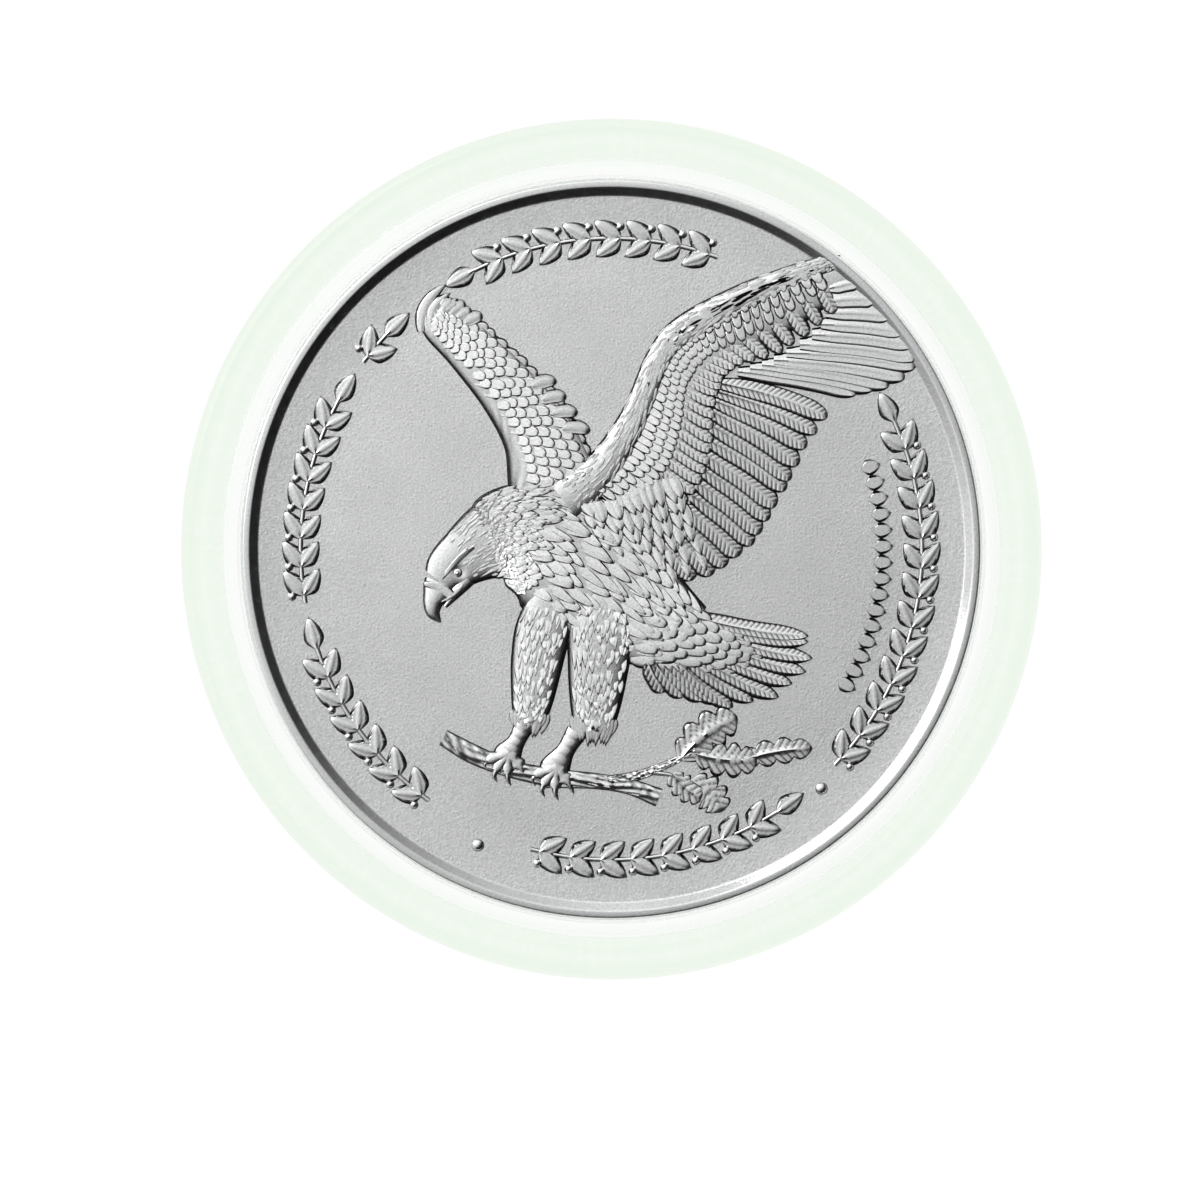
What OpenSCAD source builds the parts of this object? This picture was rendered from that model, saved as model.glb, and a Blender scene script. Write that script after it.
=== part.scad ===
// Round two-piece coin capsule with the coin that it holds.
// The base stands on its rim at z = 0 and the lid pushes down over the base's seat wall.
// All three pieces share the vertical axis x = y = 0.

/* [Coin] */
// Diameter of the coin that the capsule is made for, in mm
coin_d = 40.6; // [20:0.1:60]
// Thickness of the coin over its rims, in mm
coin_t = 2.98; // [1.8:0.01:4]
// Width of the flat top of the raised rim on each face of the coin, in mm
coin_rim_w = 0.5; // [0.4:0.05:1.5]
// Depth of the coin's fields below its rims, in mm
coin_field_depth = 0.42; // [0.1:0.01:0.5]
// Number of reeds round the coin's edge
reed_count = 180; // [60:10:220]
// Depth of the reeds, in mm
reed_depth = 0.12; // [0.05:0.01:0.2]

/* [Capsule] */
// Outside diameter of the closed capsule beyond the coin, in mm
rim_allowance = 6.4; // [5:0.1:12]
// Thickness of each clear window, in mm
window_t = 1.0; // [0.8:0.1:2]
// Depth of each window below the rim that protects it, in mm
window_recess = 0.4; // [0.1:0.1:1]
// Thickness of the base's seat wall round the coin, in mm
seat_wall_t = 0.8; // [0.6:0.05:1.2]
// Radius of the capsule's rounded outer edges, in mm
edge_round = 0.6; // [0.3:0.05:0.8]

/* [Fits] */
// Gap between the coin's edge and the seat wall, in mm
coin_play_radial = 0.15; // [0.05:0.05:0.4]
// Gap between the coin and the lid's window, in mm
coin_play_axial = 0.2; // [0.05:0.05:0.5]
// Radial gap of the lid's push fit on the seat wall, in mm
lid_fit = 0.03; // [0.01:0.01:0.08]

/* [Hidden] */
$fn = 180;

// Small bevels that are the same on every capsule size
lead_in = 0.25;       // bevel that guides the lid on to the seat wall
parting_bevel = 0.2;  // bevel of each half at the parting line, for a fingernail
recess_slope = 0.45;  // width of the slope from the rim down to the window
seat_top_gap = 0.1;   // space above the seat wall when the lid is home
parting_gap = 0.02;   // the halves meet at the rims' faces, this far apart
coin_bevel = 0.15;    // bevel of the coin's rim at its edge
arc_steps = 10;

coin_r = coin_d / 2;
seat_r = coin_r + coin_play_radial;
seat_outer_r = seat_r + seat_wall_t;
skirt_r = seat_outer_r + lid_fit;
capsule_r = (coin_d + rim_allowance) / 2;

floor_z = window_recess + window_t;            // the coin lies here
coin_top_z = floor_z + coin_t;
ceiling_z = coin_top_z + coin_play_axial;      // inner face of the lid's window
capsule_h = ceiling_z + window_t + window_recess;
seat_top_z = ceiling_z - seat_top_gap;
parting_z = capsule_h * 0.4;

recess_r = skirt_r + recess_slope;             // inner edge of the rim's flat face

// Points on an arc about (cx, cz) in the r-z plane
function arc(cx, cz, r, from, to) =
    [for (i = [0 : arc_steps])
        let (a = from + (to - from) * i / arc_steps)
        [cx + r * cos(a), cz + r * sin(a)]];

// Points of the coin's reeded outline: a crest and a root for each reed
function reeds(n, crest_r, root_r) =
    [for (i = [0 : 2 * n - 1])
        let (r = i % 2 == 0 ? crest_r : root_r, a = 180 * i / n)
        [r * cos(a), r * sin(a)]];

// Lower half: recessed window, rim that it stands on, and the seat wall round the coin
module base() {
    color([0.90, 0.97, 0.90, 0.4])
    rotate_extrude()
    polygon(concat(
        [[0, window_recess],
         [recess_r - recess_slope, window_recess],
         [recess_r, 0]],
        arc(capsule_r - edge_round, edge_round, edge_round, -90, 0),
        [[capsule_r, parting_z - parting_gap / 2 - parting_bevel],
         [capsule_r - parting_bevel, parting_z - parting_gap / 2],
         [seat_outer_r, parting_z - parting_gap / 2],
         [seat_outer_r, seat_top_z - lead_in],
         [seat_outer_r - lead_in, seat_top_z],
         [seat_r, seat_top_z],
         [seat_r, floor_z],
         [0, floor_z]]
    ));
}

// Revolved blank of the coin: a disc with a raised rim on both faces
module coin_blank(r) {
    field_r = r - coin_rim_w;
    rotate_extrude()
    polygon([
        [0, floor_z + coin_field_depth],
        [field_r - coin_field_depth, floor_z + coin_field_depth],
        [field_r, floor_z],
        [r - coin_bevel, floor_z],
        [r, floor_z + coin_bevel],
        [r, coin_top_z - coin_bevel],
        [r - coin_bevel, coin_top_z],
        [field_r, coin_top_z],
        [field_r - coin_field_depth, coin_top_z - coin_field_depth],
        [0, coin_top_z - coin_field_depth]
    ]);
}

// The coin: its blank, with a band of reeds between the two bevelled rims
module coin() {
    color([0.78, 0.78, 0.80])
    union() {
        coin_blank(coin_r - reed_depth - 0.05);
        translate([0, 0, floor_z + coin_bevel])
        linear_extrude(coin_t - 2 * coin_bevel)
        polygon(reeds(reed_count, coin_r, coin_r - reed_depth));
    }
}

// Upper half: recessed window and the skirt that grips the seat wall
module lid() {
    color([0.90, 0.97, 0.90, 0.4])
    rotate_extrude()
    polygon(concat(
        [[0, ceiling_z],
         [skirt_r, ceiling_z],
         [skirt_r, parting_z + parting_gap / 2 + lead_in],
         [skirt_r + lead_in, parting_z + parting_gap / 2],
         [capsule_r - parting_bevel, parting_z + parting_gap / 2],
         [capsule_r, parting_z + parting_gap / 2 + parting_bevel]],
        arc(capsule_r - edge_round, capsule_h - edge_round, edge_round, 0, 90),
        [[recess_r, capsule_h],
         [recess_r - recess_slope, capsule_h - window_recess],
         [0, capsule_h - window_recess]]
    ));
}

base();
coin();
lid();
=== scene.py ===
"""Round coin capsule of clear plastic, with the struck silver coin that it holds."""

import bpy
import numpy as np
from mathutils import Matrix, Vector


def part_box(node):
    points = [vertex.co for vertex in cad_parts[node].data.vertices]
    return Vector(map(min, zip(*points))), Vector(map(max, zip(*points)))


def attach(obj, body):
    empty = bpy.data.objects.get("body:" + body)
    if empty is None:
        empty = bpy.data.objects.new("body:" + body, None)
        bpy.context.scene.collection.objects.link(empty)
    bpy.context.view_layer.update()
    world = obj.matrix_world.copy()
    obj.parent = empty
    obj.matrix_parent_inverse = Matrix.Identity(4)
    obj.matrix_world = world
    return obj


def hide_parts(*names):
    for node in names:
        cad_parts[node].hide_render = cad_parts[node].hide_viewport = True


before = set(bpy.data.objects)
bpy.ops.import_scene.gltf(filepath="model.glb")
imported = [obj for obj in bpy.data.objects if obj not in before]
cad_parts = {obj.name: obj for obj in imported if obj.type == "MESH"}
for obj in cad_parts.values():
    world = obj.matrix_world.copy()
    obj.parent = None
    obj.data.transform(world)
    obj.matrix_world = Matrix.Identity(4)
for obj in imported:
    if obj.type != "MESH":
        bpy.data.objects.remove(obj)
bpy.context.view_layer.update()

# ----------------------------------------------------------------------------------------------------
# Studio: a pale floor that glows like a light table, one broad soft light from the upper left of the
# coin's design, a soft dome of light that falls off to the lower right, and a camera that looks straight
# down on the lid.
# ----------------------------------------------------------------------------------------------------

MM = 0.001
FLOOR_HALF = 900
SENSOR = 36
CAMERA_HEIGHT = 1200
VIEW_WIDTH = 65.8
VIEW_CENTRE = (-0.62, -2.78)
SOFTBOX_PLACE = (-330, 270, 330)
SOFTBOX_SIZE = 400
SOFTBOX_GLOW = 1.2
FLOOR_GLOW = 0.70
FLOOR_SECOND_GLOW = 0.02
IS_CAMERA_RAY = 0
IS_SHADOW_RAY = 1
GLOSSY_BOUNCES = 10
DOME_STRENGTH = 2.0
DOME_LIGHT_SIDE = (-0.62, 0.62, 0.48)
BACKDROP = (1, 1, 1, 1)


class Wire:
    """An output socket of a node tree. Arithmetic on it adds Math nodes and gives the result's Wire."""

    def __init__(self, paint, socket):
        self.paint = paint
        self.socket = socket

    def math(self, operation, first, second):
        return self.paint.node("ShaderNodeMath", {"operation": operation}, [first, second])

    def __add__(self, other):
        return self.math("ADD", self, other)

    def __sub__(self, other):
        return self.math("SUBTRACT", self, other)

    def __rsub__(self, other):
        return self.math("SUBTRACT", other, self)

    def __mul__(self, other):
        return self.math("MULTIPLY", self, other)

    __radd__ = __add__
    __rmul__ = __mul__


class Paint:
    """The node tree of a material or of the world. Every node in it is made by node()."""

    def __init__(self, owner):
        owner.use_nodes = True
        self.owner = owner
        self.tree = owner.node_tree
        self.tree.nodes.clear()

    def node(self, kind, settings=None, sockets=(), output=0):
        """Makes a node, sets its settings, then its sockets, from values or Wires, by order or by name."""
        made = self.tree.nodes.new(kind)
        settings = dict(settings or {})
        stops = settings.pop("stops", None)
        for key, value in settings.items():
            setattr(made, key, value)
        if stops:
            elements = made.color_ramp.elements
            for _ in stops[2:]:
                elements.new(1.0)
            for element, (place, colour) in zip(elements, stops):
                element.position = place
                element.color = (*colour, 1)
        for key, value in sockets.items() if isinstance(sockets, dict) else enumerate(sockets):
            if isinstance(value, Wire):
                self.tree.links.new(value.socket, made.inputs[key])
            else:
                made.inputs[key].default_value = value
        return Wire(self, made.outputs[output]) if len(made.outputs) else None


scene = bpy.context.scene
scene.view_settings.view_transform = "Standard"
scene.view_settings.look = "High Contrast"

camera = bpy.data.objects.new("camera", bpy.data.cameras.new("camera"))
camera.data.sensor_width = SENSOR
camera.data.lens = SENSOR * CAMERA_HEIGHT / VIEW_WIDTH
camera.location = (VIEW_CENTRE[0] * MM, VIEW_CENTRE[1] * MM, CAMERA_HEIGHT * MM)
scene.collection.objects.link(camera)
scene.camera = camera

floor_corners = np.array([[-1, -1, 0], [1, -1, 0], [1, 1, 0], [-1, 1, 0]]) * FLOOR_HALF * MM
floor = bpy.data.objects.new("floor", bpy.data.meshes.new("floor"))
floor.data.from_pydata(floor_corners.tolist(), [], [(0, 1, 2, 3)])
scene.collection.objects.link(floor)
floor_paint = Paint(bpy.data.materials.new("pale_floor"))
floor_bounces = floor_paint.node("ShaderNodeLightPath", {}, [], output=GLOSSY_BOUNCES)
floor_glow = floor_paint.node(
    "ShaderNodeMapRange", {}, [floor_bounces, 0.0, 1.0, 1.0, FLOOR_SECOND_GLOW]
)
floor_shader = floor_paint.node("ShaderNodeEmission", {}, [floor_glow, FLOOR_GLOW])
floor_paint.node("ShaderNodeOutputMaterial", {}, [floor_shader])
floor.data.materials.append(floor_paint.owner)

softbox = bpy.data.objects.new("softbox", bpy.data.lights.new("softbox", "AREA"))
softbox.data.size = SOFTBOX_SIZE * MM
softbox.data.energy = SOFTBOX_GLOW * np.pi * (SOFTBOX_SIZE * MM) ** 2
softbox.location = [c * MM for c in SOFTBOX_PLACE]
softbox.rotation_mode = "QUATERNION"
softbox.rotation_quaternion = softbox.location.to_track_quat("Z", "Y")
scene.collection.objects.link(softbox)

scene.world = bpy.data.worlds.new("studio")
dome = Paint(scene.world)
direction = dome.node("ShaderNodeTexCoord")
toward = dome.node(
    "ShaderNodeVectorMath", {"operation": "DOT_PRODUCT"}, [direction, DOME_LIGHT_SIDE], output=1
)
dome_stops = [
    (0.00, (0.002, 0.002, 0.002)),
    (0.34, (0.003, 0.003, 0.003)),
    (0.56, (0.030, 0.030, 0.030)),
    (0.74, (0.235, 0.235, 0.236)),
    (0.88, (0.400, 0.400, 0.400)),
    (1.00, (0.400, 0.400, 0.400)),
]
dome_glow = dome.node("ShaderNodeValToRGB", {"stops": dome_stops}, [toward * 0.5 + 0.5])
dome_light = dome.node("ShaderNodeBackground", {}, {"Color": dome_glow, "Strength": DOME_STRENGTH})
backdrop = dome.node("ShaderNodeBackground", {}, {"Color": BACKDROP, "Strength": 1.0})
seen = dome.node("ShaderNodeLightPath", {}, [], output=IS_CAMERA_RAY)
dome_mix = dome.node("ShaderNodeMixShader", {}, [seen, dome_light, backdrop])
dome.node("ShaderNodeOutputWorld", {}, [dome_mix])

# ----------------------------------------------------------------------------------------------------
# Base. The lower half of the capsule, moulded in clear acrylic: a window under the coin, a seat wall
# round the coin's edge, and a rim that stands proud of the window so that the window isn't scratched.
# ----------------------------------------------------------------------------------------------------

_, base_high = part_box("base")
lid_low, lid_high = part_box("lid")
coin_low, coin_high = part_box("coin")
COIN_R = coin_high.x / MM
COIN_BOTTOM = coin_low.z / MM
COIN_TOP = coin_high.z / MM
CAPSULE_R = base_high.x / MM
SEAT_TOP = base_high.z / MM
CAPSULE_TOP = lid_high.z / MM
PARTING_GAP = 0.02
PARTING = lid_low.z / MM - PARTING_GAP / 2
WINDOW_RECESS = 0.4
WINDOW_THICK = 1.0
RECESS_SLOPE = 0.45
COIN_PLAY = 0.15
SEAT_WALL = 0.8
PUSH_FIT = 0.03
SEAT_R = COIN_R + COIN_PLAY
SEAT_OUTER_R = SEAT_R + SEAT_WALL
SKIRT_R = SEAT_OUTER_R + PUSH_FIT
RECESS_R = SKIRT_R + RECESS_SLOPE
CEILING = CAPSULE_TOP - WINDOW_RECESS - WINDOW_THICK
EDGE_ROUND = 0.6
BEVEL = 0.2
LEAD_IN = 0.25
SEAT_LEAD_SHARE = 0.55
SOFTENING = 0.06
TURN_STEPS = 360
PLASTIC_IOR = 1.25
PLASTIC_ROUGHNESS = 0.015
CLEAR_TO_LAMPS = (0.98, 0.99, 0.98, 1)


def arc(centre_r, centre_z, radius, start, end, count):
    """Points (r, z) on a circle about a centre, evenly from one angle to another, in degrees."""
    angle = np.radians(np.linspace(start, end, count))
    return np.stack([centre_r + radius * np.cos(angle), centre_z + radius * np.sin(angle)], -1)


def softened(outline, radius=SOFTENING, count=4):
    """Rounds each corner of an open outline: the corner is swapped for a quadratic curve that starts and
    ends at most radius away from it along its two sides, with the corner as its control point."""
    before, corner, after = outline[:-2], outline[1:-1], outline[2:]
    back, ahead = before - corner, after - corner
    back_length = np.linalg.norm(back, axis=1, keepdims=True)
    ahead_length = np.linalg.norm(ahead, axis=1, keepdims=True)
    start = corner + back * np.minimum(radius / back_length, 0.4)
    end = corner + ahead * np.minimum(radius / ahead_length, 0.4)
    f = np.linspace(0, 1, count)[None, :, None]
    curve = (1 - f) ** 2 * start[:, None] + 2 * f * (1 - f) * corner[:, None] + f**2 * end[:, None]
    return np.concatenate([outline[:1], curve.reshape(-1, 2), outline[-1:]])


def mesh_of(name, points, face_groups):
    """A mesh from points in millimetres and groups of faces, each an array of corner numbers."""
    mesh = bpy.data.meshes.new(name)
    mesh.vertices.add(len(points))
    mesh.vertices.foreach_set("co", (np.asarray(points, float) * MM).ravel())
    corners = np.concatenate([group.ravel() for group in face_groups]).astype(np.int32)
    counts = np.concatenate([np.full(len(group), group.shape[1]) for group in face_groups])
    mesh.loops.add(len(corners))
    mesh.loops.foreach_set("vertex_index", corners)
    mesh.polygons.add(len(counts))
    mesh.polygons.foreach_set("loop_start", (np.cumsum(counts) - counts).astype(np.int32))
    mesh.update(calc_edges=True)
    return mesh


def turned(name, outline, steps, wobble=0.0):
    """A closed solid turned about the axis: point i of the outline, (r, z), is carried round at each of
    steps angles a to (r cos a, r sin a, z), with r less wobble[i](a). The outline starts and ends on the
    axis, lower face first."""
    angle = np.linspace(0, 2 * np.pi, steps, endpoint=False)
    r = outline[1:-1, :1] - wobble * np.ones(steps)
    z = np.repeat(outline[1:-1, 1:], steps, 1)
    rings = np.stack([r * np.cos(angle), r * np.sin(angle), z], -1)
    count = len(rings)
    points = np.concatenate([rings.reshape(-1, 3), [[0, 0, outline[0, 1]], [0, 0, outline[-1, 1]]]])
    i, j = np.meshgrid(np.arange(count - 1) * steps, np.arange(steps), indexing="ij")
    k = (j + 1) % steps
    sides = np.stack([i + j, i + k, i + steps + k, i + steps + j], -1).reshape(-1, 4)
    j, k = j[0], k[0]
    first = np.stack([np.full(steps, count * steps), k, j], -1)
    top = (count - 1) * steps
    last = np.stack([np.full(steps, count * steps + 1), top + j, top + k], -1)
    return mesh_of(name, points, [sides, first, last])


def add_piece(name, mesh, material, body, crease=40):
    """Puts a mesh in the scene as a piece with smooth faces, sharp where they meet at over crease
    degrees, that rides on body and takes its finish from material."""
    mesh.name = name
    mesh.polygons.foreach_set("use_smooth", np.ones(len(mesh.polygons), bool))
    mesh.set_sharp_from_angle(angle=np.radians(crease))
    mesh.materials.append(material)
    piece = bpy.data.objects.new(name, mesh)
    scene.collection.objects.link(piece)
    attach(piece, body)
    return piece


def clear_plastic(name):
    """Clear acrylic: water clear in the thin window, faintly green where light passes the thick rim, with
    hairline handling marks and a slight moulding ripple. Lamps shine through it."""
    paint = Paint(bpy.data.materials.new(name))
    place = paint.node("ShaderNodeTexCoord", {}, [], output=3)
    flat = paint.node("ShaderNodeVectorMath", {"operation": "MULTIPLY"}, [place, (1, 1, 0)])
    radius = paint.node("ShaderNodeVectorMath", {"operation": "LENGTH"}, [flat], output=1)
    rim_share = paint.node(
        "ShaderNodeMapRange",
        {"interpolation_type": "SMOOTHSTEP"},
        [radius, COIN_R * MM, CAPSULE_R * MM, 0.0, 1.0],
    )
    tint_stops = [
        (0.0, (0.995, 0.997, 0.995)),
        (0.45, (0.935, 0.972, 0.928)),
        (0.72, (0.950, 0.978, 0.944)),
        (1.0, (0.930, 0.968, 0.920)),
    ]
    tint = paint.node("ShaderNodeValToRGB", {"stops": tint_stops}, [rim_share])
    ripple = paint.node("ShaderNodeTexNoise", {}, {"Vector": place, "Scale": 130.0, "Detail": 1.0})
    hairs = paint.node("ShaderNodeTexNoise", {}, {"Vector": place, "Scale": 2400.0, "Detail": 4.0})
    marks = paint.node("ShaderNodeMapRange", {}, [hairs, 0.62, 0.75, 0.0, 0.05])
    bump = paint.node(
        "ShaderNodeBump", {}, {"Height": ripple, "Strength": 0.10, "Distance": 0.0002}
    )
    plastic = paint.node(
        "ShaderNodeBsdfPrincipled",
        {},
        {
            "Base Color": tint,
            "Roughness": marks + PLASTIC_ROUGHNESS,
            "IOR": PLASTIC_IOR,
            "Transmission Weight": 1.0,
            "Normal": bump,
        },
    )
    shadow_ray = paint.node("ShaderNodeLightPath", {}, [], output=IS_SHADOW_RAY)
    lamp_through = paint.node("ShaderNodeBsdfTransparent", {}, [CLEAR_TO_LAMPS])
    mixed = paint.node("ShaderNodeMixShader", {}, [shadow_ray, plastic, lamp_through])
    paint.node("ShaderNodeOutputMaterial", {}, [mixed])
    return paint.owner


base_outline = np.concatenate(
    [
        [[0, WINDOW_RECESS], [RECESS_R - RECESS_SLOPE, WINDOW_RECESS], [RECESS_R, 0]],
        arc(CAPSULE_R - EDGE_ROUND, EDGE_ROUND, EDGE_ROUND, -90, 0, 9),
        [
            [CAPSULE_R, PARTING - PARTING_GAP / 2 - BEVEL],
            [CAPSULE_R - BEVEL, PARTING - PARTING_GAP / 2],
            [SEAT_OUTER_R, PARTING - PARTING_GAP / 2],
            [SEAT_OUTER_R, SEAT_TOP - LEAD_IN],
            [SEAT_OUTER_R - LEAD_IN * SEAT_LEAD_SHARE, SEAT_TOP],
            [SEAT_R, SEAT_TOP],
            [SEAT_R, COIN_BOTTOM],
            [0, COIN_BOTTOM],
        ],
    ]
)
base_shell = add_piece(
    "capsule_base",
    turned("capsule_base", softened(base_outline), TURN_STEPS),
    clear_plastic("clear_base_plastic"),
    "base",
)
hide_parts("base")

# ----------------------------------------------------------------------------------------------------
# Coin blank. A thick disc of fine silver: a flat raised rim round each face, a short bright slope down
# to a finely blasted field, and reeds cut round the edge by the collar that it was struck in.
# ----------------------------------------------------------------------------------------------------

RIM_W = 0.5
RIM_SLOPE = 0.46
FIELD_DEPTH = 0.42
FIELD_Z = COIN_TOP - FIELD_DEPTH
FIELD_R = COIN_R - RIM_W - RIM_SLOPE
FIELD_DISH = 0.12
COIN_BEVEL = 0.15
REEDS = 180
REED_DEPTH = 0.12
STEPS_PER_REED = 6
# Painted shade: a near black colour, mixed into the silver at the feet of the relief's edges and, a little,
# on the slope inside the rim.
SHADE_PAINT_COLOUR = (0.02, 0.02, 0.022, 1)
CREVICE_SHADE_PAINT = 0.96
SLOPE_SHADE_PAINT = 0.22
RIM_POLISH = 0.55
RIM_GRAIN_LOST = 0.6
BLASTED_GRAIN = 0.65
STRUCK_GRAIN = 0.3
GRAIN_HEIGHT = 0.00002
GRAIN_SCALE = 8000.0


def silver(name, finish, polished_rim=False):
    """Struck silver: a fine grain over slow cloudy tone, with painted shade, near black, at the feet of the
    relief's edges. finish is its roughness. A polished rim is smoother than that from the slope inside the
    rim outwards, and its slope has a little painted shade, fading out towards the slope's two ends."""
    paint = Paint(bpy.data.materials.new(name))
    place = paint.node("ShaderNodeTexCoord", {}, [], output=3)
    grain = paint.node("ShaderNodeTexNoise", {}, {"Vector": place, "Scale": GRAIN_SCALE, "Detail": 2.0})
    clouds = paint.node("ShaderNodeTexNoise", {}, {"Vector": place, "Scale": 240.0, "Detail": 2.0})
    tone_stops = [(0.3, (0.76, 0.76, 0.765)), (0.7, (0.93, 0.93, 0.935))]
    tone_and_painted_shade = paint.node("ShaderNodeValToRGB", {"stops": tone_stops}, [grain * 0.7 + clouds * 0.3])
    # Painted shade: the colour goes to near black where the mesh's painted shade weight is high, at the feet
    # of edges, in barb grooves and at the sides of limbs.
    painted_shade = paint.node("ShaderNodeAttribute", {"attribute_name": "painted_shade"}, [], output=2)
    dark_share = paint.node("ShaderNodeMapRange", {}, [painted_shade, 0.12, 0.6, 0.0, CREVICE_SHADE_PAINT])
    mix = {"data_type": "RGBA"}
    tone_and_painted_shade = paint.node("ShaderNodeMix", mix, {0: dark_share, 6: tone_and_painted_shade, 7: SHADE_PAINT_COLOUR}, output=2)
    rough = grain * 0.08 + (finish - 0.04)
    relief = grain
    strength = STRUCK_GRAIN
    if polished_rim:
        strength = BLASTED_GRAIN
        flat = paint.node("ShaderNodeVectorMath", {"operation": "MULTIPLY"}, [place, (1, 1, 0)])
        radius = paint.node("ShaderNodeVectorMath", {"operation": "LENGTH"}, [flat], output=1)
        limits = [radius, (FIELD_R - 0.05) * MM, (FIELD_R + 0.1) * MM, 0.0, 1.0]
        on_rim = paint.node("ShaderNodeMapRange", {}, limits)
        rough = rough - on_rim * (finish * RIM_POLISH)
        relief = grain * (1.0 - on_rim * RIM_GRAIN_LOST)
        # Painted shade on the slope inside the rim, strongest in its middle.
        from_slope = paint.node(
            "ShaderNodeMath", {"operation": "ABSOLUTE"}, [radius - (FIELD_R + RIM_SLOPE / 2) * MM]
        )
        limits = [from_slope, RIM_SLOPE * 0.35 * MM, RIM_SLOPE * 0.55 * MM, SLOPE_SHADE_PAINT, 0.0]
        on_slope = paint.node("ShaderNodeMapRange", {}, limits)
        tone_and_painted_shade = paint.node("ShaderNodeMix", mix, {0: on_slope, 6: tone_and_painted_shade, 7: SHADE_PAINT_COLOUR}, output=2)
    bump_sockets = {"Height": relief, "Strength": strength, "Distance": GRAIN_HEIGHT}
    bump = paint.node("ShaderNodeBump", {}, bump_sockets)
    metal = paint.node(
        "ShaderNodeBsdfPrincipled",
        {},
        {"Base Color": tone_and_painted_shade, "Metallic": 1.0, "Roughness": rough, "Normal": bump},
    )
    paint.node("ShaderNodeOutputMaterial", {}, [metal])
    return paint.owner


def dish(xy):
    """How much the field has risen at a point: FIELD_DISH at its edge, growing as the radius squared."""
    return FIELD_DISH * (xy[..., 0] ** 2 + xy[..., 1] ** 2) / FIELD_R**2


field_line = np.column_stack([np.linspace(0, FIELD_R, 6), np.zeros(6)])
field_line[:, 1] = COIN_BOTTOM + FIELD_DEPTH - dish(field_line * [1, 0])
lower_rim = [
    [COIN_R - RIM_W, COIN_BOTTOM],
    [COIN_R - COIN_BEVEL, COIN_BOTTOM],
    [COIN_R, COIN_BOTTOM + COIN_BEVEL],
]
lower_face = np.concatenate([field_line, lower_rim])
upper_face = lower_face[::-1] * [1, -1] + [0, COIN_TOP + COIN_BOTTOM]
reed_band = np.array([[COIN_R, COIN_BOTTOM + 0.3], [COIN_R, COIN_TOP - 0.3]])
coin_outline = softened(np.concatenate([lower_face, reed_band, upper_face]), 0.07)
reed_angle = np.linspace(0, 2 * np.pi, REEDS * STEPS_PER_REED, endpoint=False)
reed_cut = REED_DEPTH * 0.5 * (1 - np.cos(reed_angle * REEDS))
from_faces = np.minimum(coin_outline[:, 1] - COIN_BOTTOM, COIN_TOP - coin_outline[:, 1])
reed_share = np.clip((from_faces - COIN_BEVEL) / 0.12, 0, 1) * (coin_outline[:, 0] > COIN_R - 0.01)
blank = add_piece(
    "coin_blank",
    turned("coin_blank", coin_outline, len(reed_angle), reed_share[1:-1, None] * reed_cut),
    silver("blasted_silver", 0.26, polished_rim=True),
    "coin",
    crease=60,
)
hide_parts("coin")

# ----------------------------------------------------------------------------------------------------
# Eagle's far wing, struck in one with the coin: a long narrow wing held up behind the head, with a
# smooth leading edge, rows of small overlapping feathers, and the flight feathers' ends down its right.
# ----------------------------------------------------------------------------------------------------

SINK = 0.05
RELIEF_TOP = COIN_TOP - 0.01
draw = np.random.default_rng(7)
relief_silver = silver("struck_silver", 0.11)


def through(points, s):
    """A smooth curve through the points (Catmull-Rom), at each share s of the way along them."""
    p = np.asarray(points, float)
    place = np.clip(s, 0, 1) * (len(p) - 1)
    i = np.minimum(place.astype(int), len(p) - 2)
    f = (place - i)[..., None]
    p = np.concatenate([2 * p[:1] - p[1:2], p, 2 * p[-1:] - p[-2:-1]])
    a, b, c, d = p[i], p[i + 1], p[i + 2], p[i + 3]
    bend = (2 * a - 5 * b + 4 * c - d) * f**2 + (3 * b - a - 3 * c + d) * f**3
    return (2 * b + (c - a) * f + bend) / 2


def across_of(direction):
    """The unit vector a quarter turn to the left of each direction."""
    left = np.stack([-direction[..., 1], direction[..., 0]], -1)
    return left / np.maximum(np.linalg.norm(left, axis=-1, keepdims=True), 1e-9)


def shells(name, *stacks):
    """A mesh of closed shells. A stack is an array (shells, rings, corners, 4) of loops that run from the
    left side over the top to the right side, in order along each shell. Rings are joined by quads, and
    each end is closed by one face. A point is x, y, z and its painted shade weight, 1 at the foot of an
    edge."""
    points, quads, caps, start = [], [], [], 0
    for stack in stacks:
        n, rings, corners = stack.shape[:3]
        number = np.arange(n * rings * corners).reshape(n, rings, corners) + start
        beside = np.roll(number, -1, 2)
        quad = [number[:, :-1], beside[:, :-1], beside[:, 1:], number[:, 1:]]
        quads.append(np.stack(quad, -1).reshape(-1, 4))
        caps.append(np.concatenate([number[:, 0, ::-1], number[:, -1]]))
        points.append(stack.reshape(-1, 4))
        start += number.size
    points = np.concatenate(points)
    mesh = mesh_of(name, points[:, :3], quads + caps)
    mesh.attributes.new("painted_shade", "FLOAT", "POINT").data.foreach_set("value", points[:, 3])
    return mesh


def walled(xy, z, painted_shade):
    """Loops from a top surface, (..., across), with a straight wall down each side to under the field."""
    z = np.minimum(z + dish(xy), RELIEF_TOP)
    # The last argument weighs painted shade at each point: the silver is painted darker where it is high.
    top = np.concatenate([xy, z[..., None], np.broadcast_to(painted_shade, z.shape)[..., None]], -1)
    foot = top[..., [0, -1], :].copy()
    foot[..., 2] = FIELD_Z - SINK
    return np.concatenate([foot[..., :1, :], top, foot[..., 1:, :]], -2)


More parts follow.
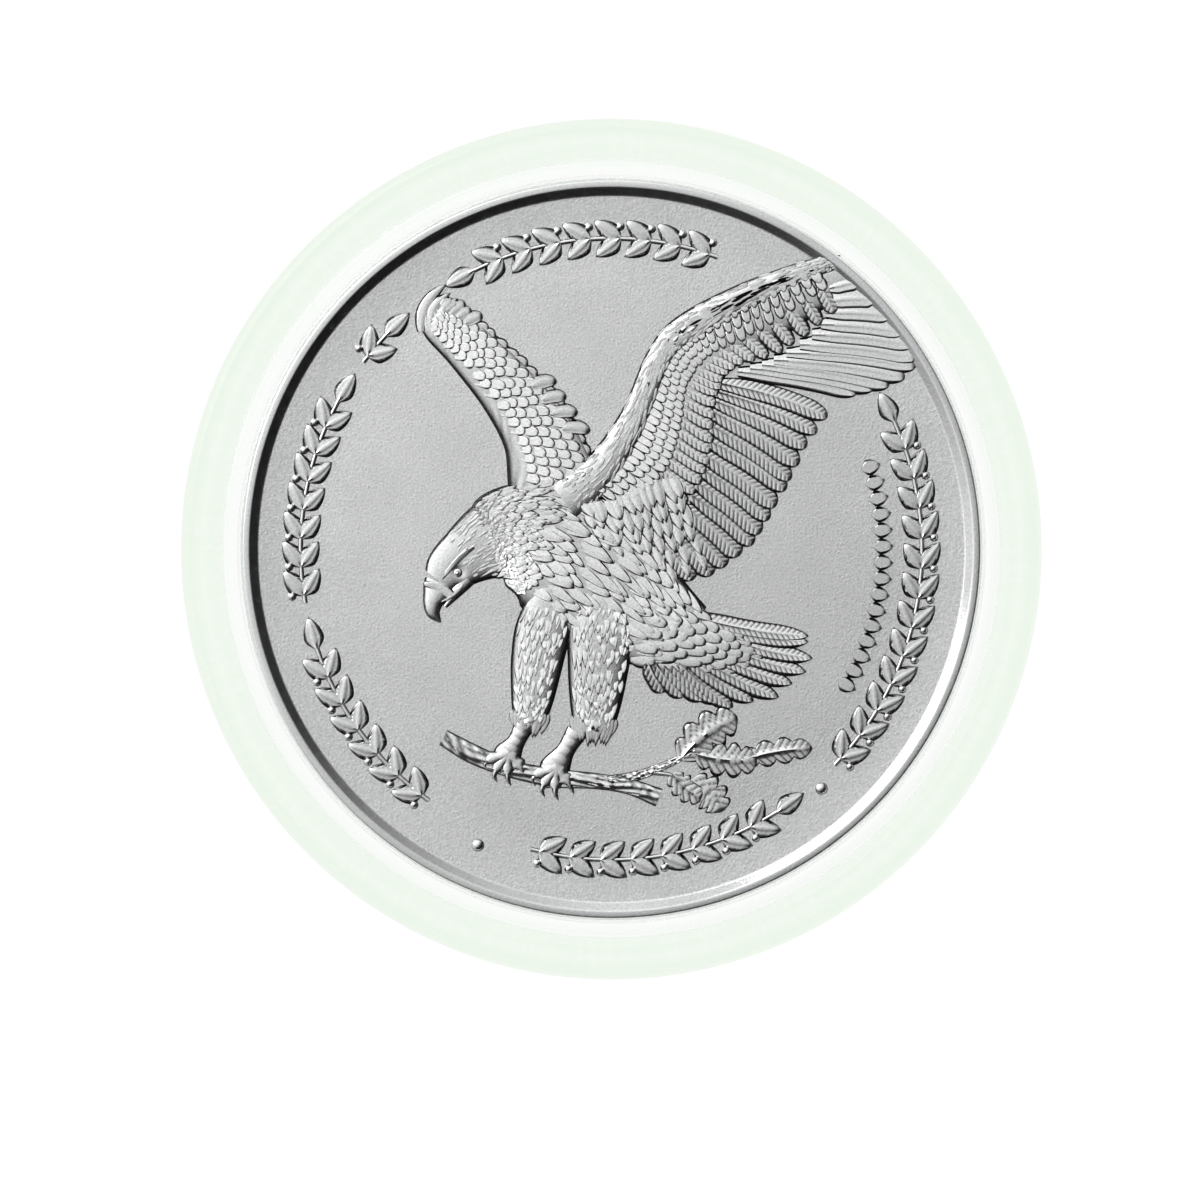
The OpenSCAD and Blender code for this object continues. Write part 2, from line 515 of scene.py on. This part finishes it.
def blades(
    root, tip, half_width, root_z, tip_z, bend=0.0, rings=8, across=7, full_to=0.4, point=0.5, narrow=0.55,
    wall=0.08, bevel=0.15, crown=0.015, tilt=0.0, shaft=0.0, barb=0.0, pitch=0.3, lobes=0,
):
    """Feathers or leaves as closed shells. With u from root to tip and v from 1 to -1 across: the middle
    line is the straight line bowed by 4 bend u (1 - u) of its length; the half width rises by a quarter
    sine from narrow to full, holds until full_to and closes as (1 - x squared) to the power point; the top
    runs from root_z to tip_z, crowned by 1 - v squared, tilted by v, with a shaft ridge and slanted barb
    grooves, a squared sine that repeats every pitch. A bevel all round drops by wall to the upright side.
    With lobes, the half width is notched by the size of a sine that many times along the blade."""
    root, tip = np.asarray(root, float), np.asarray(tip, float)
    n = len(root)
    half_width, root_z, tip_z, bend = (
        np.broadcast_to(value, n)[:, None] for value in (half_width, root_z, tip_z, bend)
    )
    u = 1 - (1 - np.linspace(0, 1, rings)) ** 1.4
    inside = 1 - np.clip(bevel / half_width.mean(), 0.05, 0.4)
    v = np.sin(np.linspace(np.pi / 2, -np.pi / 2, across - 2)) * inside
    v = np.concatenate([[1], v, [-1]])
    span = (tip - root)[:, None]
    length = np.linalg.norm(span, axis=-1)
    side = across_of(span)
    bow = (4 * bend * length * u * (1 - u))[..., None]
    middle = root[:, None] + span * u[:, None] + bow * side
    heading = span + (4 * bend * length * (1 - 2 * u))[..., None] * side
    past = np.clip((u - full_to) / (1 - full_to), 0, 1)
    rise = narrow + (1 - narrow) * np.sin(np.pi / 2 * np.clip(u / 0.35, 0, 1))
    close = np.maximum((1 - past**2) ** point, 0.04)
    notch = 0.55 + 0.45 * np.abs(np.sin(np.pi * lobes * u)) ** 0.7 if lobes else 1
    wide = half_width * rise * close * notch
    xy = middle[:, :, None] + across_of(heading)[:, :, None] * (wide[..., None] * v)[..., None]
    edge = np.abs(v) > inside + 0.001
    end = 1 - np.sqrt(1 - past**9)
    slanted = (u * length)[..., None] - 0.8 * np.abs(v) * wide[..., None]
    groove = (0.5 + 0.5 * np.sin(2 * np.pi * slanted / pitch)) ** 2
    plain = (1 - edge) * (1 - np.exp(-((v / 0.14) ** 2))) * (1 - past[:, None] ** 6)
    z = (root_z + (tip_z - root_z) * u)[..., None] + crown * (1 - v**2) + tilt * v
    z = z + shaft * np.exp(-((v / 0.12) ** 2)) * (1 - u[:, None] ** 3) - barb * groove * plain
    # Painted shade: the bevel and end of each blade where they fall away, and half as much in the barb
    # grooves.
    fallen = np.maximum(edge, end[:, None])
    grooved = 0.5 * (groove * plain) * (barb > 0)
    return walled(xy, FIELD_Z + z - wall * fallen, np.maximum(fallen, grooved))


def limb(stations, foot=0.05):
    """The surface of a rounded limb, given (x, y, half width, height) at stations along it. At share s
    along and t across, from 1 on the left to -1, the point is t half widths to the left of the middle
    line. Its height over the field is foot at the sides, and over that rises to the station's height by
    the root of 1 - |t| to the power 2.4."""

    def surface(s, t):
        here = through(stations, s)
        heading = through(stations, s + 0.01) - through(stations, s - 0.01)
        side = across_of(heading[..., :2])
        xy = here[..., :2] + side * (here[..., 2] * t)[..., None]
        return xy, foot + (here[..., 3] - foot) * np.sqrt(np.clip(1 - np.abs(t) ** 2.4, 0, 1))

    return surface


def limb_loops(surface, rings=40, across=17, grain=None):
    """Loops of a limb's closed shell. grain(s, t) is a height that is added to its surface."""
    s, t = np.meshgrid(
        np.linspace(0, 1, rings), np.sin(np.linspace(np.pi / 2, -np.pi / 2, across)), indexing="ij"
    )
    xy, z = surface(s, t)
    if grain is not None:
        z = z + grain(s, t) * (1 - t**8)
    # Painted shade towards the limb's sides, as |t| to the power 7.
    return walled(xy, FIELD_Z + z, np.abs(t) ** 7)[None]


def shingled(surface, rows, columns, start, stop, reach, half_width, lift, sweep=0.0, reach_out=0.92,
             jitter=0.12, **shape):
    """Feathers in staggered rows over a limb. Row i starts at share start to stop of the limb, feather j
    lies at t across it, and its tip is reach further along and swept outwards by sweep t. Its root is a
    little under the surface, and its tip is lift over it."""
    i, j = (grid.ravel() for grid in np.meshgrid(np.arange(rows), np.arange(columns), indexing="ij"))
    stray = draw.uniform(-jitter, jitter, (4, len(i)))
    s = start + (stop - start) * (i + stray[0]) / max(rows - 1, 1)
    t = ((j + 0.25 + 0.5 * (i % 2) + stray[1]) / columns * 2 - 1) * reach_out
    t_tip = np.clip(t * (1 + sweep) + stray[2] * 0.25, -1, 1)
    root, root_z = surface(s, t)
    tip, tip_z = surface(s + reach * (1 + stray[3]), t_tip)
    return blades(root, tip, half_width * (1 + stray[2]), root_z - 0.6 * lift, tip_z + lift, **shape)


far_wing = limb(
    [
        (-3.1, 3.6, 2.6, 0.22),
        (-3.9, 6.2, 2.1, 0.23),
        (-5.5, 8.6, 1.75, 0.23),
        (-7.7, 11.0, 1.45, 0.22),
        (-9.3, 12.4, 1.2, 0.22),
        (-9.9, 13.0, 0.8, 0.18),
    ]
)


def wing_rows(surface, rows, count, start, stop, tip_back, half_width, lift, **shape):
    """Rows of feathers that run along a wing, laid from its right edge to its left. Row k's roots lie at
    t 0.72 less 1.6 k / rows, its tips further right by 2.6 / rows and nearer the body by tip_back."""
    feathers = []
    for k in range(rows - 1, -1, -1):
        stray = draw.uniform(-0.15, 0.15, count)
        s = start + (stop - start) * (np.arange(count) + 0.5 * (k % 2) + stray) / count
        t = np.full(count, 0.72 - 1.6 * k / rows)
        root, root_z = surface(s, t)
        tip, tip_z = surface(s - tip_back, np.maximum(t - 2.6 / rows, -1.0))
        tip = tip + draw.uniform(-0.08, 0.08, (count, 2))
        feathers.append(blades(root, tip, half_width, root_z - 0.5 * lift, tip_z + lift, **shape))
    return feathers


edge_s = np.array([0.16, 0.22, 0.28, 0.34, 0.66, 0.71, 0.76, 0.81, 0.86])
edge_root, _ = far_wing(edge_s + 0.03, np.full(9, -0.6))
edge_tip, _ = far_wing(edge_s - 0.01, draw.uniform(-1.28, -1.12, 9))
far_wing_edge = blades(
    edge_root, edge_tip, 0.46, 0.25, 0.25, bend=0.1, rings=16, across=9, point=0.5, shaft=0.03, wall=0.18,
    bevel=0.14, crown=0.0,
)
hook = blades(
    [(-10.4, 11.9), (-9.9, 12.3), (-9.3, 12.4)],
    [(-9.0, 14.5), (-8.8, 14.0), (-8.4, 13.7)],
    [0.42, 0.36, 0.32], [0.16, 0.19, 0.22], [0.14, 0.17, 0.2],
    bend=0.15, rings=22, across=9, point=0.8, shaft=0.02, wall=0.1, full_to=0.3,
)
add_piece(
    "eagle_far_wing",
    shells(
        "eagle_far_wing",
        limb_loops(far_wing, 160, 33, lambda s, t: 0.018 * np.sin(26 * t + 34 * s + 3 * np.sin(19 * s))),
        far_wing_edge,
        *wing_rows(far_wing, 6, 20, 0.03, 0.9, 0.055, 0.38, 0.09, rings=14, across=9, full_to=0.6,
                   narrow=1.0, crown=0.0, wall=0.1, bevel=0.16),
        hook,
    ),
    relief_silver,
    "coin",
)

# ----------------------------------------------------------------------------------------------------
# Eagle's tail: a fan of long feathers swept to the right, under a covering of small oval ones.
# ----------------------------------------------------------------------------------------------------

TAIL_FEATHERS = 12
tail_roots = [(4.2, -3.6), (4.6, -4.6), (4.2, -5.8), (3.2, -6.4), (2.0, -6.2)]
tail_tips = [(10.9, -4.6), (10.8, -6.0), (9.6, -7.6), (7.2, -8.5), (5.2, -8.4), (2.8, -7.9)]
s = np.linspace(0, 1, TAIL_FEATHERS)
tail_feathers = blades(
    through(tail_roots, s),
    through(tail_tips, s) + draw.uniform(-0.18, 0.18, (TAIL_FEATHERS, 2)),
    0.56, 0.20, 0.15, bend=-0.03, rings=110, across=19, full_to=0.72, point=0.7,
    shaft=0.045, barb=0.01, tilt=-0.08, wall=0.13, bevel=0.22,
)
tail_base = limb(
    [(1.6, -4.2, 2.2, 0.28), (4.0, -5.0, 1.8, 0.28), (6.4, -5.5, 1.3, 0.24), (8.4, -5.8, 0.6, 0.14)]
)
add_piece(
    "eagle_tail",
    shells(
        "eagle_tail",
        tail_feathers,
        limb_loops(tail_base, 30, 13),
        shingled(tail_base, 9, 5, 0.0, 0.8, 0.2, 0.45, 0.05, full_to=0.4, shaft=0.015),
    ),
    relief_silver,
    "coin",
)

# ----------------------------------------------------------------------------------------------------
# Eagle's near wing: a smooth arm along the leading edge, three rows of small feathers behind it, one of
# larger ones, and long flight feathers that fan out to the field and run in under the rim.
# ----------------------------------------------------------------------------------------------------

arm_edge = [(-1.0, 3.3), (1.3, 5.2), (2.3, 7.6), (3.2, 10.4), (4.8, 11.9), (7.8, 13.9), (11.2, 15.5)]
small_edge = [(0.6, 2.2), (2.9, 4.2), (3.8, 6.6), (4.2, 9.0), (5.4, 10.5), (8.3, 12.0), (12.0, 14.4)]
large_edge = [(2.0, 0.8), (4.6, 3.0), (5.5, 5.4), (5.8, 8.2), (6.7, 9.9), (9.4, 10.8), (12.6, 13.2)]
arm = limb(
    [
        (-2.6, 2.6, 1.3, 0.34),
        (-0.6, 4.2, 1.1, 0.38),
        (1.3, 7.2, 0.85, 0.38),
        (2.7, 10.4, 0.85, 0.37),
        (4.2, 12.0, 0.95, 0.36),
        (7.6, 13.9, 0.8, 0.34),
        (11.2, 15.4, 0.55, 0.28),
        (12.6, 15.7, 0.4, 0.2),
    ]
)
wing_plate = limb(
    [
        (-0.2, 2.6, 1.8, 0.24),
        (2.4, 5.4, 2.0, 0.24),
        (4.0, 9.0, 1.7, 0.24),
        (6.1, 11.8, 1.7, 0.24),
        (9.4, 13.6, 1.7, 0.22),
        (12.8, 15.0, 0.8, 0.14),
    ]
)


def feather_row(root_lines, root_mix, tip_lines, tip_mix, count, half_width, root_z, tip_z, stray, **shape):
    """One row of feathers between lines: roots lie root_mix of the way from the first root line to the
    second, tips likewise, at even shares along them, each moved at random by up to stray."""
    s = (np.arange(count) + 0.5) / count
    first, second = (through(line, s) for line in root_lines)
    root = first + (second - first) * root_mix
    first, second = (through(line, s) for line in tip_lines)
    tip = first + (second - first) * tip_mix + draw.uniform(-stray, stray, (count, 2))
    width = half_width * draw.uniform(0.9, 1.12, count)
    return blades(root, tip, width, root_z, tip_z, **shape)


small_lines = (arm_edge, small_edge)
large_lines = (small_edge, large_edge)
small_rows = [
    feather_row(
        small_lines, (k - 0.7) / 3, small_lines, (k + 1.05) / 3, 38, 0.31, 0.25, 0.35 - 0.02 * k,
        0.06, rings=12, across=9, full_to=0.5, point=0.6, tilt=-0.02, wall=0.09, bevel=0.15, crown=0.0,
    )
    for k in (2, 1, 0)
]
large_row = feather_row(
    large_lines, -0.25, large_lines, 1.0, 26, 0.45, 0.2, 0.26, 0.06,
    rings=46, across=13, full_to=0.65, shaft=0.03, barb=0.008, tilt=-0.05, wall=0.1, bevel=0.16, crown=0.0,
)
inner_large_edge = [(2.0, 0.4), (4.1, 2.2), (4.9, 4.8), (5.3, 7.6), (5.9, 9.3)]
secondary_tips = [
    (3.9, -1.9), (5.9, -1.3), (7.4, -0.1), (8.4, 1.3), (9.3, 2.8), (10.1, 4.3), (11.0, 6.0), (12.2, 7.6)
]
secondary_lines = (inner_large_edge, inner_large_edge)
secondaries = feather_row(
    secondary_lines, 0, (secondary_tips, secondary_tips), 0, 14, 0.66, 0.16, 0.15, 0.1,
    bend=0.04, rings=150, across=21, full_to=0.8, shaft=0.045, barb=0.012, tilt=-0.08, wall=0.12, bevel=0.2,
)
primary_roots = [(6.6, 9.6), (9.0, 10.4), (11.4, 12.2), (12.0, 14.6)]
primary_tips = [(12.9, 8.5), (15.0, 8.9), (16.6, 9.9), (16.4, 11.2), (15.0, 13.0), (13.0, 15.1)]
primaries = feather_row(
    (primary_roots, primary_roots), 0, (primary_tips, primary_tips), 0, 11, 0.58, 0.17, 0.14, 0.05,
    bend=0.03, rings=60, across=15, full_to=0.82, shaft=0.035, tilt=-0.06, wall=0.11, bevel=0.2,
)
inner_roots = [(-1.6, 2.2), (0.2, 2.2), (2.0, 3.0), (3.8, 3.4)]
inner_tips = [(0.2, -1.2), (2.0, -1.6), (3.7, -2.0), (5.4, -0.6)]
inner_lines = (inner_roots, inner_tips)
inner_rows = [
    feather_row(
        inner_lines, (k - 0.8) / 6, inner_lines, (k + 1.15) / 6, 12 - k, 0.42, 0.25 - 0.03 * k,
        0.38 - 0.03 * k, 0.2, rings=16, across=9, full_to=0.35, point=1.0, shaft=0.03, tilt=-0.03, wall=0.14,
    )
    for k in (5, 4, 3, 2, 1, 0)
]
add_piece(
    "eagle_flight_feathers",
    shells("eagle_flight_feathers", primaries, secondaries),
    relief_silver,
    "coin",
)
add_piece(
    "eagle_near_wing",
    shells(
        "eagle_near_wing",
        limb_loops(arm, 90, 21),
        shingled(arm, 44, 6, 0.03, 0.95, 0.03, 0.11, 0.012, sweep=-0.1, jitter=0.35, wall=0.03, bevel=0.03,
                 point=0.8, rings=6, across=5),
        limb_loops(wing_plate, 40, 13),
        *small_rows,
        large_row,
        *inner_rows,
    ),
    relief_silver,
    "coin",
)

# ----------------------------------------------------------------------------------------------------
# Eagle's body and neck: one full rounded form under rows of U-shaped feathers, small and fine at the
# neck and broad over the breast and flank.
# ----------------------------------------------------------------------------------------------------

body = limb(
    [
        (-7.0, 0.3, 2.0, 0.22),
        (-5.7, 0.7, 2.8, 0.24),
        (-3.5, 0.3, 3.7, 0.25),
        (-0.8, -1.5, 3.7, 0.25),
        (1.8, -3.5, 3.0, 0.24),
        (4.2, -4.9, 2.0, 0.22),
    ]
)
add_piece(
    "eagle_body",
    shells(
        "eagle_body",
        limb_loops(body, 50, 25),
        shingled(
            body, 15, 9, 0.17, 0.93, 0.14, 0.5, 0.13, reach_out=0.85, jitter=0.26, shaft=0.025,
            full_to=0.25, narrow=0.9, point=0.8, wall=0.13, bevel=0.19, crown=0.0, rings=16, across=9,
        ),
        shingled(body, 16, 17, 0.0, 0.3, 0.09, 0.22, 0.12, jitter=0.3, point=0.9, wall=0.1, bevel=0.1),
    ),
    relief_silver,
    "coin",
)

# ----------------------------------------------------------------------------------------------------
# Eagle's head: a smooth flat crown, a heavy brow over a small round eye, and a hooked beak.
# ----------------------------------------------------------------------------------------------------


def beads(centres, radius, height, foot=0.0, around=20):
    """Small domes as closed shells: from a foot under the field, ring k of a quarter circle has radius R
    cos a and height h sin a, with a rising from 0 to nearly a right angle."""
    rise = np.radians([0, 0, 20, 40, 58, 74, 86])
    angle = np.linspace(0, 2 * np.pi, around, endpoint=False)
    ring = np.asarray(radius).reshape(-1, 1, 1) * np.cos(rise)[:, None]
    x = np.asarray(centres, float)[:, None, None, 0] + ring * np.cos(angle)
    y = np.asarray(centres, float)[:, None, None, 1] + ring * np.sin(angle)
    z = FIELD_Z + foot + height * np.sin(rise) + dish(np.asarray(centres, float))[:, None]
    z[:, 0] = FIELD_Z - SINK
    # Painted shade at the foot of each dome, fading out as it rises.
    painted_shade = np.clip(1 - rise / 0.5, 0, 1)[:, None]
    return np.stack([x, y, np.broadcast_to(z[..., None], x.shape), np.broadcast_to(painted_shade, x.shape)], -1)


head = limb(
    [
        (-5.4, 1.0, 2.5, 0.26),
        (-6.8, 0.35, 2.1, 0.29),
        (-8.0, -0.4, 1.65, 0.31),
        (-8.9, -1.1, 1.35, 0.31),
        (-9.45, -1.75, 0.95, 0.29),
    ]
)
beak = limb(
    [
        (-9.35, -1.8, 0.9, 0.3),
        (-9.55, -2.4, 0.8, 0.33),
        (-9.76, -2.95, 0.56, 0.33),
        (-9.72, -3.5, 0.38, 0.28),
        (-9.35, -4.0, 0.06, 0.16),
    ]
)
jaw = limb([(-7.9, -1.6, 0.5, 0.24), (-8.5, -2.35, 0.34, 0.25), (-9.1, -3.15, 0.12, 0.18)])


def eye_socket(s, t):
    """A rounded hollow in the side of the head, round the eye."""
    return -0.1 * np.exp(-(((s - 0.66) / 0.07) ** 2) - ((t - 0.3) / 0.25) ** 2)


cere = blades(
    [(-8.75, -2.6)], [(-10.3, -1.9)], 0.34, 0.3, 0.3, bend=-0.1, rings=18, across=9, narrow=0.9,
    crown=0.03,
)
brow = blades(
    [(-7.5, 0.1)], [(-9.25, -1.7)], 0.22, 0.33, 0.4, bend=-0.06, rings=20, across=9, wall=0.16, tilt=-0.03,
    bevel=0.1, point=0.8,
)
eye = np.concatenate(
    [
        beads([(-8.4, -1.3)], 0.25, 0.06, foot=0.24, around=24),
        beads([(-8.42, -1.32)], 0.12, 0.07, foot=0.3, around=24),
    ]
)
gape = blades(
    [(-8.1, -1.9)], [(-9.35, -2.9)], 0.13, 0.3, 0.33, bend=0.08, rings=18, across=7, wall=0.1, point=0.8
)
cheek = shingled(
    head, 9, 9, 0.0, 0.55, -0.13, 0.13, 0.03, jitter=0.45, full_to=0.1, point=0.9, rings=12, wall=0.07,
    bevel=0.07,
)
add_piece(
    "eagle_head",
    shells(
        "eagle_head",
        limb_loops(head, 60, 31, eye_socket),
        limb_loops(jaw, 16, 9),
        limb_loops(beak, 24, 15),
        cere,
        gape,
        brow,
        eye,
        cheek,
    ),
    relief_silver,
    "coin",
)

# ----------------------------------------------------------------------------------------------------
# Eagle's legs: shaggy feathered thighs, and scaled feet whose toes and talons close on the branch.
# ----------------------------------------------------------------------------------------------------

left_thigh = limb(
    [
        (-3.2, -2.2, 1.0, 0.24),
        (-3.7, -4.2, 1.5, 0.29),
        (-4.05, -6.0, 1.45, 0.3),
        (-4.3, -8.0, 1.2, 0.3),
        (-4.5, -9.5, 0.9, 0.27),
    ]
)
right_thigh = limb(
    [
        (-0.2, -2.2, 1.2, 0.26),
        (-0.5, -4.2, 1.85, 0.33),
        (-0.7, -6.2, 1.7, 0.34),
        (-0.85, -8.2, 1.45, 0.33),
        (-1.0, -9.9, 1.1, 0.3),
    ]
)
feet = [(-5.6, -11.2), (-3.0, -12.0)]
left_shin = limb(
    [(-4.7, -9.5, 0.6, 0.26), (-5.2, -10.5, 0.5, 0.28), (-5.7, -11.3, 0.8, 0.31), (-5.9, -11.8, 0.5, 0.31)]
)
right_shin = limb(
    [
        (-1.9, -10.0, 0.6, 0.26),
        (-2.5, -11.0, 0.52, 0.28),
        (-3.1, -12.0, 0.85, 0.31),
        (-3.3, -12.5, 0.5, 0.31),
    ]
)
toe_reach = np.array([(-1.35, -0.45), (-0.85, -1.05), (-0.1, -1.25), (0.75, -0.9)])


def scales(s, t):
    """Plates across a shin: the size of a sine wave along it, a little sunk."""
    return 0.035 * np.abs(np.sin(22 * s)) - 0.03


def toe(start, reach):
    """A toe that swells at its knuckles and drops over the branch, and the talon that it ends in."""
    end = start + reach
    knuckles = ((0.0, 0.45), (0.22, 0.52), (0.42, 0.36), (0.66, 0.46), (0.86, 0.3))
    bones = [(*(start + reach * share), width, 0.34) for share, width in knuckles]
    talon = [
        (*(start + reach * 0.8), 0.2, 0.3),
        (*(end + (0.04, -0.14)), 0.14, 0.26),
        (*(end + (0.2, -0.5)), 0.03, 0.14),
    ]
    return [limb_loops(limb(bones), 22, 9), limb_loops(limb(talon), 12, 7)]


claws = [part for foot in feet for reach in toe_reach for part in toe(np.array(foot), reach)]
thigh_shape = {"point": 0.9, "full_to": 0.25, "wall": 0.12, "bevel": 0.12, "jitter": 0.35, "reach_out": 0.8}


def ragged_hem(thigh, count):
    """Pointed feathers that hang past the end of a thigh, from evenly spread places across it."""
    t = np.linspace(-0.95, 0.95, count)
    root, root_z = thigh(np.full(count, 0.9), t)
    end, _ = thigh(np.full(count, 1.0), t)
    tip = end + (end - root) * draw.uniform(0.4, 1.5, (count, 1))
    return blades(root, tip, 0.24, root_z, root_z * 0.9, point=0.9, full_to=0.2, bevel=0.08, wall=0.14)


add_piece(
    "eagle_legs",
    shells(
        "eagle_legs",
        limb_loops(left_thigh, 30, 15),
        shingled(left_thigh, 14, 8, 0.1, 1.0, 0.13, 0.18, 0.14, **thigh_shape),
        ragged_hem(left_thigh, 11),
        limb_loops(right_thigh, 30, 15),
        shingled(right_thigh, 14, 10, 0.1, 1.0, 0.13, 0.18, 0.14, **thigh_shape),
        ragged_hem(right_thigh, 14),
        limb_loops(left_shin, 60, 11, scales),
        limb_loops(right_shin, 60, 11, scales),
        *claws,
    ),
    relief_silver,
    "coin",
)

# ----------------------------------------------------------------------------------------------------
# Branch: a stout twig that the eagle lands on, with rough bark, a side shoot and lobed leaves.
# ----------------------------------------------------------------------------------------------------


def bark(s, t):
    """Wavy ridges that run along the branch."""
    knots = 0.04 * np.sin(31 * s + 2 * np.sin(2 * t)) ** 3
    return 0.035 * np.sin(8 * t + 4 * np.sin(11 * s)) + 0.02 * np.sin(90 * s + 5 * t) + knots - 0.04


branch = limb(
    [
        (-9.2, -10.3, 0.46, 0.27),
        (-7.6, -11.2, 0.54, 0.3),
        (-5.6, -12.0, 0.48, 0.29),
        (-3.2, -12.5, 0.52, 0.3),
        (-0.8, -12.7, 0.44, 0.28),
        (1.0, -13.0, 0.44, 0.27),
        (2.6, -13.6, 0.52, 0.27),
    ]
)
shoot = limb(
    [(-0.2, -12.7, 0.3, 0.26), (1.4, -12.4, 0.28, 0.25), (3.0, -11.8, 0.22, 0.23), (4.6, -11.0, 0.16, 0.2)]
)
twig = limb([(2.0, -12.2, 0.14, 0.18), (3.4, -12.4, 0.11, 0.17), (4.6, -13.0, 0.09, 0.15)])
leaf_roots = [(3.8, -11.5), (4.6, -11.2), (7.0, -11.6), (3.3, -12.3), (4.4, -12.7)]
leaf_tips = [(6.9, -9.2), (8.0, -11.5), (11.0, -10.9), (5.0, -13.6), (6.0, -14.4)]
leaves = blades(
    leaf_roots, leaf_tips, [1.15, 1.0, 0.75, 0.75, 1.0], 0.12, 0.2, bend=[0.08, -0.05, 0.04, -0.08, 0.1],
    rings=70, across=15, full_to=0.6, narrow=0.4, lobes=4, shaft=0.08, barb=0.012, pitch=0.4, wall=0.12,
    bevel=0.16,
)
add_piece(
    "branch",
    shells(
        "branch",
        limb_loops(branch, 120, 17, bark),
        limb_loops(shoot, 60, 11, bark),
        limb_loops(twig, 24, 9),
        leaves,
    ),
    relief_silver,
    "coin",
)

# ----------------------------------------------------------------------------------------------------
# Border: sprigs of laurel struck between the rim and the eagle, with a row of small lozenges inside
# them on the right and a round bead at each end of the lowest sprig.
# ----------------------------------------------------------------------------------------------------

BORDER_R = 17.0
INNER_R = 14.9
LEAF_LONG = 1.9


def on_circle(radius, degrees):
    """Points at that radius and those angles round the coin's middle."""
    angle = np.radians(degrees)
    return np.stack([radius * np.cos(angle), radius * np.sin(angle)], -1)


def sprig(start, stop):
    """A laurel sprig along the border circle from angle start to stop, in degrees: a thin stem, pairs of
    leaves that leave it at a slant on both sides, one leaf at its end, and berries between the pairs."""
    sense = np.sign(stop - start)
    pairs = max(int(abs(stop - start) / 5.6), 1)
    step = (stop - start) / (pairs + 0.6)
    at = start + step * (np.arange(pairs) + 0.3)
    ahead = np.degrees(LEAF_LONG * 0.72 / BORDER_R) * sense
    s = np.linspace(start, stop - step * 0.3, 12)
    stem = limb(np.column_stack([on_circle(BORDER_R, s), np.full((12, 1), 0.13), np.full((12, 1), 0.17)]))
    roots = np.concatenate([on_circle(BORDER_R, at), on_circle(BORDER_R, at), on_circle(BORDER_R, s[-1:])])
    tips = np.concatenate(
        [
            on_circle(BORDER_R + 0.98, at + ahead),
            on_circle(BORDER_R - 0.98, at + ahead),
            on_circle(BORDER_R, [s[-1] + ahead * 1.3]),
        ]
    )
    leaf = blades(
        roots, tips, 0.56, 0.22, 0.24, rings=16, across=11, full_to=0.3, narrow=0.25, point=0.85,
        crown=0.02, shaft=0.04, wall=0.2, bevel=0.22,
    )
    berries = beads(on_circle(BORDER_R + 0.66, at), 0.24, 0.22)
    return [limb_loops(stem, 60, 7), leaf, berries]


border = [
    part
    for start, stop in ((234, 197), (190, 150), (143, 135), (70, 118), (-44, 26), (-105, -56))
    for part in sprig(start, stop)
]
lozenge_at = np.arange(-30, 19, 3.4)
border.append(
    blades(
        on_circle(INNER_R - 0.55, lozenge_at), on_circle(INNER_R + 0.55, lozenge_at), 0.44, 0.2, 0.2,
        rings=15, across=9, full_to=0.4, narrow=0.05, point=1.0, wall=0.18, bevel=0.15, crown=0.0,
    )
)
border.append(beads([(-7.3, -16.2), (11.5, -13.1)], 0.34, 0.2))
add_piece("border", shells("border", *border), relief_silver, "coin")

# ----------------------------------------------------------------------------------------------------
# Lower face: a plain generic design of a rayed sun inside a laurel ring and a ring of beads, struck
# into the field that faces down.
# ----------------------------------------------------------------------------------------------------

RAYS = 32


def turned_over(stack):
    """The same loops on the lower face: turned half round the x axis, about the coin's middle height."""
    return stack * [1, -1, -1, 1] + [0, 0, COIN_TOP + COIN_BOTTOM, 0]


ray_at = np.arange(RAYS) * 360 / RAYS
ray_reach = (11.0 - 1.6 * (np.arange(RAYS) % 2))[:, None]
rays = blades(
    on_circle(4.6, ray_at), on_circle(1.0, ray_at) * ray_reach, 0.42, 0.3, 0.16,
    rings=20, across=9, full_to=0.1, narrow=0.9, point=1.0, shaft=0.03, wall=0.1,
)
lower_design = [rays, beads([(0, 0)], 4.2, 0.36, around=90)]
lower_design.append(beads(on_circle(18.7, np.arange(0, 360, 4.0)), 0.3, 0.2))
for start in (-84, 96):
    lower_design += sprig(start, start + 168)
add_piece(
    "lower_face_design",
    shells("lower_face_design", *[turned_over(part) for part in lower_design]),
    relief_silver,
    "coin",
)

# ----------------------------------------------------------------------------------------------------
# Lid. The upper half of the capsule, moulded in the same clear acrylic: its window lies just over the
# coin, and its skirt grips the base's seat wall. It pulls straight off.
# ----------------------------------------------------------------------------------------------------

lid_outline = np.concatenate(
    [
        [
            [0, CEILING],
            [SKIRT_R, CEILING],
            [SKIRT_R, PARTING + PARTING_GAP / 2 + LEAD_IN],
            [SKIRT_R + LEAD_IN, PARTING + PARTING_GAP / 2],
            [CAPSULE_R - BEVEL, PARTING + PARTING_GAP / 2],
            [CAPSULE_R, PARTING + PARTING_GAP / 2 + BEVEL],
        ],
        arc(CAPSULE_R - EDGE_ROUND, CAPSULE_TOP - EDGE_ROUND, EDGE_ROUND, 0, 90, 9),
        [
            [RECESS_R, CAPSULE_TOP],
            [RECESS_R - RECESS_SLOPE, CAPSULE_TOP - WINDOW_RECESS],
            [0, CAPSULE_TOP - WINDOW_RECESS],
        ],
    ]
)
lid_shell = add_piece(
    "capsule_lid",
    turned("capsule_lid", softened(lid_outline), TURN_STEPS),
    clear_plastic("clear_lid_plastic"),
    "lid",
)
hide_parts("lid")
